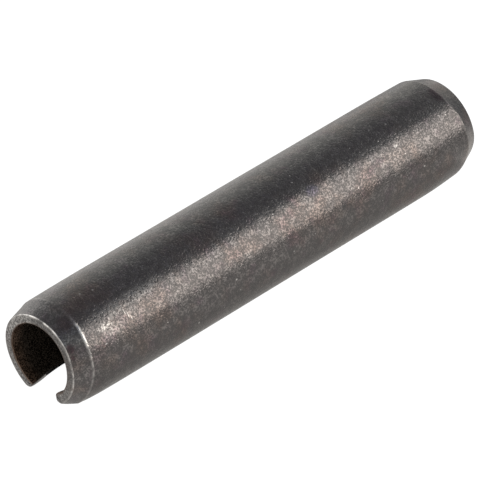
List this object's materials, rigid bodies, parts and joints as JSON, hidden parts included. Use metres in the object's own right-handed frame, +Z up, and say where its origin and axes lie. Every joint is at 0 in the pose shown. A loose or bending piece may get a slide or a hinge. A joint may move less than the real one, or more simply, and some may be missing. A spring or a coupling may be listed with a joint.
{
  "type": "spring pin",
  "caption": "Slotted spring pin: a rolled open steel tube with a lengthwise slot and chamfered ends, pressed into a hole to hold parts together.",
  "frame": {"origin": "middle of the pin's axis", "axes": "+X along the pin, +Z up, with the slot facing down (-Z) as the pin lies on its two lips"},
  "size_m": [0.032, 0.0064, 0.0056],
  "materials": {
    "blackened_steel": "dark blackened spring steel, satin, finely grained, worn bright on its sharpest edges"
  },
  "bodies": {
    "root": {"spring_pin": "blackened_steel"}
  },
  "joints": []
}
